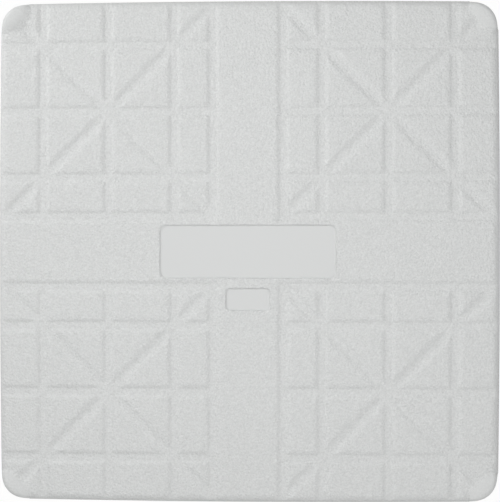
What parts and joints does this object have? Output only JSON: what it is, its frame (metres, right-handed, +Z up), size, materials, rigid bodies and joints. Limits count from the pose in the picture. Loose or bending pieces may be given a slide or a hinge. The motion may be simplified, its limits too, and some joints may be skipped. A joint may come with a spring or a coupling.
{
  "type": "baseball base",
  "caption": "Square white rubber baseball base with a grooved tread top that lifts off release studs on a steel mount with a square ground post.",
  "frame": {"origin": "on the centre line at ground level, where the post enters its anchor", "axes": "+Z up, +X to the right and +Y up the picture, which looks straight down on the top"},
  "size_m": [0.381, 0.381, 0.1922],
  "materials": {
    "white_rubber": "matte, fine pebble grain",
    "foam": "closed-cell foam",
    "black_rubber": "satin",
    "zinc_steel": "zinc plated",
    "painted_steel": "powder coat",
    "screw_steel": "plated",
    "brass": "turned"
  },
  "bodies": {
    "ground_mount": {"mount_plate": "painted_steel", "stanchion": "zinc_steel", "stanchion_screw_1": "screw_steel", "stanchion_screw_2": "screw_steel", "stanchion_screw_3": "screw_steel", "stanchion_screw_4": "screw_steel", "stanchion_nut_1": "screw_steel", "stanchion_nut_2": "screw_steel", "stanchion_nut_3": "screw_steel", "stanchion_nut_4": "screw_steel", "release_stud_1": "zinc_steel", "release_stud_2": "zinc_steel", "release_stud_3": "zinc_steel", "release_stud_4": "zinc_steel", "stud_screw_1": "screw_steel", "stud_screw_2": "screw_steel", "stud_screw_3": "screw_steel", "stud_screw_4": "screw_steel"},
    "base_top": {"tread_cover": "white_rubber", "foam_core": "foam", "backing_plate": "zinc_steel", "cover_screw_1": "screw_steel", "cover_screw_2": "screw_steel", "cover_screw_3": "screw_steel", "cover_screw_4": "screw_steel", "cover_screw_5": "screw_steel", "cover_screw_6": "screw_steel", "cover_screw_7": "screw_steel", "cover_screw_8": "screw_steel", "cover_insert_1": "brass", "cover_insert_2": "brass", "cover_insert_3": "brass", "cover_insert_4": "brass", "cover_insert_5": "brass", "cover_insert_6": "brass", "cover_insert_7": "brass", "cover_insert_8": "brass", "release_socket_1": "black_rubber", "release_socket_2": "black_rubber", "release_socket_3": "black_rubber", "release_socket_4": "black_rubber"}
  },
  "joints": [
    {"name": "top_release", "type": "slide", "parent": "ground_mount", "child": "base_top", "axis": [0, 0, 1], "range_m": [0, 0.06], "deforming": ["release_socket_1", "release_socket_2", "release_socket_3", "release_socket_4"]}
  ]
}
